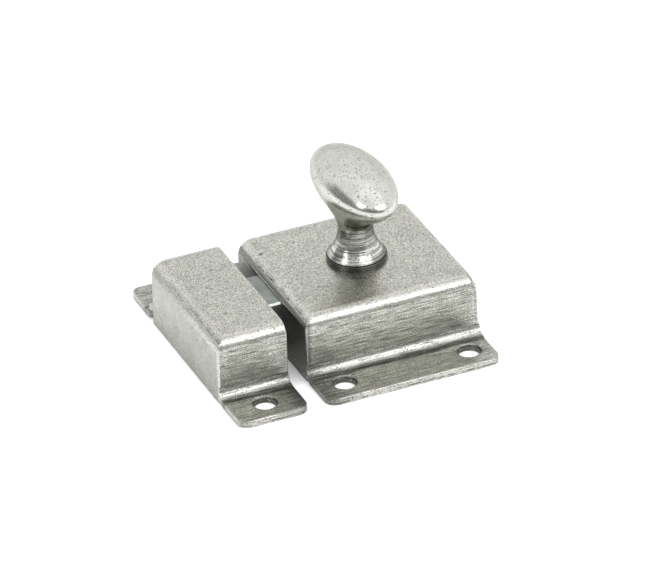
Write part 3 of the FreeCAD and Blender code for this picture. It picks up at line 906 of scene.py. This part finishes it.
def spindle_rings():
    """Sections up the spindle and the base's rim as (height, half width, half length, squareness)."""
    groove_foot = knob_low.z + tip_length
    flare_foot = knob_seat + base_rim
    below = [(knob_low.z, tip_radius), (groove_foot, tip_radius), (groove_foot, groove_radius),
             (cam_low.z, groove_radius)]
    above = [(cam_high.z, spindle_radius), (knob_seat, spindle_radius)]
    above += [(knob_seat + rise, base_radius - inset) for rise, inset in rim_foot]
    above += [(flare_foot - base_lip, base_radius), (flare_foot, base_radius - base_lip)]
    square = [(z, square_half, square_half, 1.0) for z in (cam_low.z, cam_high.z)]
    return ([(z, radius, radius, 0.0) for z, radius in below] + square
            + [(z, radius, radius, 0.0) for z, radius in above])


def neck_rings():
    """Sections up the hollow sweep from the base to the waist, with faint ridges from the lathe."""
    neck_steps, ridge, ridge_pace, ridge_seed = 60, 0.02 * mm, 0.35 * mm, 4.0
    flare_foot = knob_seat + base_rim
    run = base_radius - base_lip - waist_radius
    rise = waist_height - flare_foot
    sweep = (run ** 2 + rise ** 2) / (2 * run)
    rings = []
    for step in range(1, neck_steps):
        z = flare_foot + rise * step / neck_steps
        radius = waist_radius + sweep - math.sqrt(sweep ** 2 - (waist_height - z) ** 2)
        radius += ridge * noise.noise(Vector((z / ridge_pace, 0.0, ridge_seed)))
        rings.append((z, radius, radius, 0.0))
    return rings


def head_rings():
    """Sections up the oval head, from the waist over its widest part to just under the crown."""
    head_steps, crown_steps = 40, 28
    rings = []
    for step in range(head_steps + 1):
        share = step / head_steps
        swell = share * share * (3 - 2 * share)
        rings.append((waist_height + head_rise * share,
                      waist_radius + (head_half_width - waist_radius) * swell,
                      waist_radius + (head_half_length - waist_radius) * swell, 0.0))
    for step in range(1, crown_steps):
        angle = math.pi / 2 * step / crown_steps
        rings.append((waist_height + head_rise + crown_rise * math.sin(angle),
                      head_half_width * math.cos(angle), head_half_length * math.cos(angle), 0.0))
    return rings


def ring_point(ring, side):
    z, half_width, half_length, square = ring
    angle = 2 * math.pi * side / knob_sides
    x, y = math.cos(angle), math.sin(angle)
    if not square:
        return (half_width * x, half_length * y, z)
    flat = square_half - square_round
    point = square_half / max(abs(x), abs(y)) * Vector((x, y))
    if abs(point.x) > flat and abs(point.y) > flat:
        corner = Vector((math.copysign(flat, x), math.copysign(flat, y)))
        point = corner + (point - corner).normalized() * square_round
    return (point.x, point.y, z)


def turn_knob(name):
    """Skins the knob's sections into one closed mesh."""
    mesh = bmesh.new()
    rings = [[mesh.verts.new(ring_point(ring, side)) for side in range(knob_sides)]
             for ring in spindle_rings() + neck_rings() + head_rings()]
    skin(mesh, rings)
    summit = mesh.verts.new((0, 0, knob_high.z))
    for side in range(knob_sides):
        mesh.faces.new((rings[-1][side], rings[-1][(side + 1) % knob_sides], summit))
    bmesh.ops.recalc_face_normals(mesh, faces=mesh.faces)
    made = plain_mesh(name, mesh)
    shade_smooth(made)
    return add_piece(name, made)


def mark_neck(mesh):
    """Writes where the knob is left as turned, and where its base's flare takes a painted highlight."""
    neck_top, neck_fade = waist_height + 0.15 * head_rise, 2.5 * mm
    lip_top, lip_fade = 0.3 * mm, 0.9 * mm
    highlight_rise, highlight_reach = 2.0 * mm, 2.5 * mm
    turned, flare_highlight = new_masks(mesh, "turned", "flare_highlight")
    for vertex in mesh.vertices:
        rise = vertex.co.z - knob_seat
        fade = (vertex.co.z - neck_top) / neck_fade
        above_lip = min(1.0, max(0.0, (rise - lip_top) / lip_fade))
        turned[vertex.index].value = min(1.0, max(0.0, 1.0 - fade))
        # Painted highlight on the base's flare.
        flare_highlight[vertex.index].value = above_lip * near(rise - highlight_rise, highlight_reach)


def satin_knob(name):
    """Pewter finish of the knob: satin polished head with small pits, darker and shinier turned neck, and
    a painted highlight on the base's flare.
    """
    head_dark, head_light = (0.66, 0.66, 0.62, 1.0), (0.74, 0.74, 0.695, 1.0)
    neck_dark, neck_light = (0.17, 0.17, 0.155, 1.0), (0.52, 0.52, 0.485, 1.0)
    flare_highlight_colour, pit_colour = (0.86, 0.855, 0.82, 1.0), (0.07, 0.07, 0.065, 1.0)
    mirror_tint = (0.65, 0.65, 0.63, 1.0)
    ring_stretch, cut_stretch = (60.0, 60.0, 4200.0), (60.0, 60.0, 9000.0)
    pit_dark, speck_dark = 0.95, 0.28
    satin, polished = 0.22, 0.13
    tooth_height, pit_depth, cut_depth = 0.012, 0.06, 0.03
    material, tree, shader = new_metal(name)
    shader["Specular Tint"].default_value = mirror_tint
    grain = use_group(tree, grain_group, {
        "Tooth per mm": 2.8, "Pits per mm": 0.45, "Pit Radius": 0.26, "Specks per mm": 1.9,
        "Speck Radius": 0.19, "Pit Share": 0.85})
    turned = read_mask(tree, "turned")
    place = own_place(tree)
    rings = clouds(tree, stretched(tree, place, ring_stretch), 1.0, 3.0)["Fac"]
    cuts = clouds(tree, stretched(tree, place, cut_stretch), 1.0, 2.0)["Fac"]
    head = blend_colour(tree, between(tree, grain["Cloud"], 0.3, 0.7), head_dark, head_light)
    neck = blend_colour(tree, between(tree, rings, 0.4, 0.6), neck_dark, neck_light)
    # Painted highlight on the base's flare, broken by the lathe rings.
    rubbing_and_highlight = product(tree, read_mask(tree, "flare_highlight"), between(tree, rings, 0.42, 0.58, 0.35, 1.0))
    neck = blend_colour(tree, rubbing_and_highlight, neck, flare_highlight_colour)
    finish = blend_colour(tree, turned, head, neck)
    specks = between(tree, grain["Tooth"], 0.34, 0.46, speck_dark, 0.0)
    dark = largest(tree, product(tree, grain["Pits"], pit_dark), specks)
    shade = blend_colour(tree, dark, finish, pit_colour)
    roughness = between(tree, turned, 0.0, 1.0, satin, polished)
    relief = product(tree, grain["Tooth"], tooth_height)
    relief = arithmetic(tree, "SUBTRACT", relief, product(tree, grain["Pits"], pit_depth))
    relief = arithmetic(tree, "ADD", relief, product(tree, cuts, turned, cut_depth))
    dress(tree, shader, shade, roughness, relief)
    return material


oval_knob = turn_knob("oval_knob")
mark_neck(oval_knob.data)
fit(oval_knob, satin_knob("satin_pewter"), "pewter_knob", "knob", "knob")

# Keep sheet
# The same folded sheet, shorter, with one screw hole in each flange. One end takes a plate, and the
# end towards the case is left open for the bolt.
keep_low, keep_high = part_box("keep_shell")
keep_middle = mounts["keep_screws"]["pos_m"][0]
keep_screws = [(keep_middle, y * screw_row) for y in (-1, 1)]
keep_holes = [(x, y, screw_hole, screw_hole_round, 0, sheet) for x, y in keep_screws]
keep_sheet = folded_sheet("keep_sheet", keep_low.x, keep_high.x, end_top_round, None, keep_holes)
keep_dent_places = [(-31.2, 9.1), (-35.0, 2.5), (-34.3, 1.6), (-35.6, -9.7)]
keep_dents = [(x * mm, y * mm, 0.55 * mm, 0.12 * mm) for x, y in keep_dent_places]
weather_with_painted_light(keep_sheet, keep_low.x, keep_high.x, end_top_round, None, keep_screws, keep_dents)
fit(keep_sheet, pewter_sheet, "pewter_sheet", "case", "keep_shell")

# Keep plate
# Thin plain plate that closes the keep's far end, let in, welded along the top and ground over.
# It is finished with the sheet.
end_piece("keep_plate", "keep_end_plate", keep_low.x, 1, painted_shade=0.0)

# Floor
# White paper sweep under the latch. It glows a little where it lies open, so that it goes over into
# the white behind it and stays darker close under the latch.
floor_size = 8.0
glow_reach = 0.03
white = (1.0, 1.0, 1.0, 1.0)
paper = (0.8, 0.8, 0.8, 1.0)
bpy.ops.mesh.primitive_plane_add(size=floor_size)
floor = bpy.context.object
floor.name = "floor"
floor_paint = bpy.data.materials.new("white_floor")
floor_paint.use_nodes = True
floor_tree = floor_paint.node_tree
floor_tree.nodes.clear()
matte = node(floor_tree, "ShaderNodeBsdfDiffuse", {"Color": paper}).outputs[0]
open_floor = node(floor_tree, "ShaderNodeAmbientOcclusion", {"Distance": glow_reach},
                  samples=8).outputs["AO"]
floor_rays = node(floor_tree, "ShaderNodeLightPath").outputs
glow_seen = between(floor_tree, open_floor, 0.05, 0.6, 0.1, 0.5)
glow_reflected = between(floor_tree, open_floor, 0.25, 0.85, 0.0, 0.42)
glow_level = blend(floor_tree, floor_rays["Is Camera Ray"], glow_reflected, glow_seen)
glow = node(floor_tree, "ShaderNodeEmission", {"Color": white, "Strength": glow_level}).outputs[0]
seen = arithmetic(floor_tree, "ADD", floor_rays["Is Camera Ray"], floor_rays["Is Glossy Ray"])
seen = arithmetic(floor_tree, "ADD", seen, floor_rays["Is Transmission Ray"])
glowing = node(floor_tree, "ShaderNodeAddShader", {0: matte, 1: glow}).outputs[0]
look = node(floor_tree, "ShaderNodeMixShader", {0: seen, 1: matte, 2: glowing}).outputs[0]
node(floor_tree, "ShaderNodeOutputMaterial", {"Surface": look})
floor.data.materials.append(floor_paint)

# Light
# White room with a darker side to the left of the camera, two soft lamps in front that show in the
# knob, and a faint one overhead.
camera_azimuth, camera_elevation = math.radians(-22.097), math.radians(30.521)
dark_azimuth = camera_azimuth - math.radians(34)
dark_level = 0.24
world = bpy.data.worlds.new("studio")
bpy.context.scene.world = world
world.use_nodes = True
sky = world.node_tree
sky.nodes.clear()
direction = node(sky, "ShaderNodeTexCoord").outputs["Generated"]
heading = node(sky, "ShaderNodeVectorMath", {0: stretched(sky, direction, (1.0, 1.0, 0.0))},
               operation="NORMALIZE").outputs[0]
dark_side = (math.sin(dark_azimuth), -math.cos(dark_azimuth), 0)
facing_dark = node(sky, "ShaderNodeVectorMath", {0: heading, 1: dark_side},
                   operation="DOT_PRODUCT").outputs["Value"]
low_down = between(sky, parts(sky, direction)[2], 0.66, 0.48)
darkness = product(sky, between(sky, facing_dark, 0.0, 0.35), low_down)
room_level = between(sky, darkness, 0.0, 1.0, 1.0, dark_level)
sky_rays = node(sky, "ShaderNodeLightPath").outputs
sky_level = blend(sky, sky_rays["Is Camera Ray"], room_level, 1.0)
backdrop = node(sky, "ShaderNodeBackground", {"Color": white, "Strength": sky_level}).outputs[0]
node(sky, "ShaderNodeOutputWorld", {"Surface": backdrop})


def compass(azimuth, elevation):
    """Direction at an angle from the front and one above the floor."""
    return Vector((math.sin(azimuth) * math.cos(elevation), -math.cos(azimuth) * math.cos(elevation),
                   math.sin(elevation)))


def softbox(name, turn, rise, distance, width, depth, radiance):
    """Soft lamp at angles in degrees from the camera's side and the floor, facing the latch."""
    lamp = bpy.data.lights.new(name, "AREA")
    lamp.shape = "RECTANGLE"
    lamp.size = width
    lamp.size_y = depth
    lamp.energy = radiance * math.pi * width * depth
    holder = add_piece(name, lamp)
    holder.location = distance * compass(math.radians(turn) + camera_azimuth, math.radians(rise))
    holder.rotation_euler = (-holder.location).to_track_quat("-Z", "Y").to_euler()


softbox("left_box", turn=-55, rise=34, distance=1.2, width=0.35, depth=0.55, radiance=2.2)
softbox("right_box", turn=42, rise=45, distance=1.2, width=0.9, depth=0.6, radiance=2.2)
softbox("top_box", turn=150, rise=82, distance=1.3, width=1.2, depth=1.0, radiance=0.22)

# Camera
# Long lens from the front left, a little tilted, about a metre and a half away.
lens_pixels = 6449.4
image_width = 665
camera_roll = math.radians(-2.432)
camera_distance = 1445.1 * mm
aim_point = Vector((-1.199 * mm, 12.216 * mm, 0))
camera_data = bpy.data.cameras.new("camera")
camera_data.sensor_width = 36.0
camera_data.lens = camera_data.sensor_width * lens_pixels / image_width
camera_data.clip_end = 20.0
camera = add_piece("camera", camera_data)
towards_camera = compass(camera_azimuth, camera_elevation)
level_right = Vector((math.cos(camera_azimuth), math.sin(camera_azimuth), 0))
level_up = towards_camera.cross(level_right)
right = math.cos(camera_roll) * level_right + math.sin(camera_roll) * level_up
up = math.cos(camera_roll) * level_up - math.sin(camera_roll) * level_right
tilt = Matrix((right, up, towards_camera)).transposed().to_4x4()
camera.matrix_world = Matrix.Translation(aim_point + towards_camera * camera_distance) @ tilt
bpy.context.scene.camera = camera
bpy.context.scene.view_settings.view_transform = "Standard"
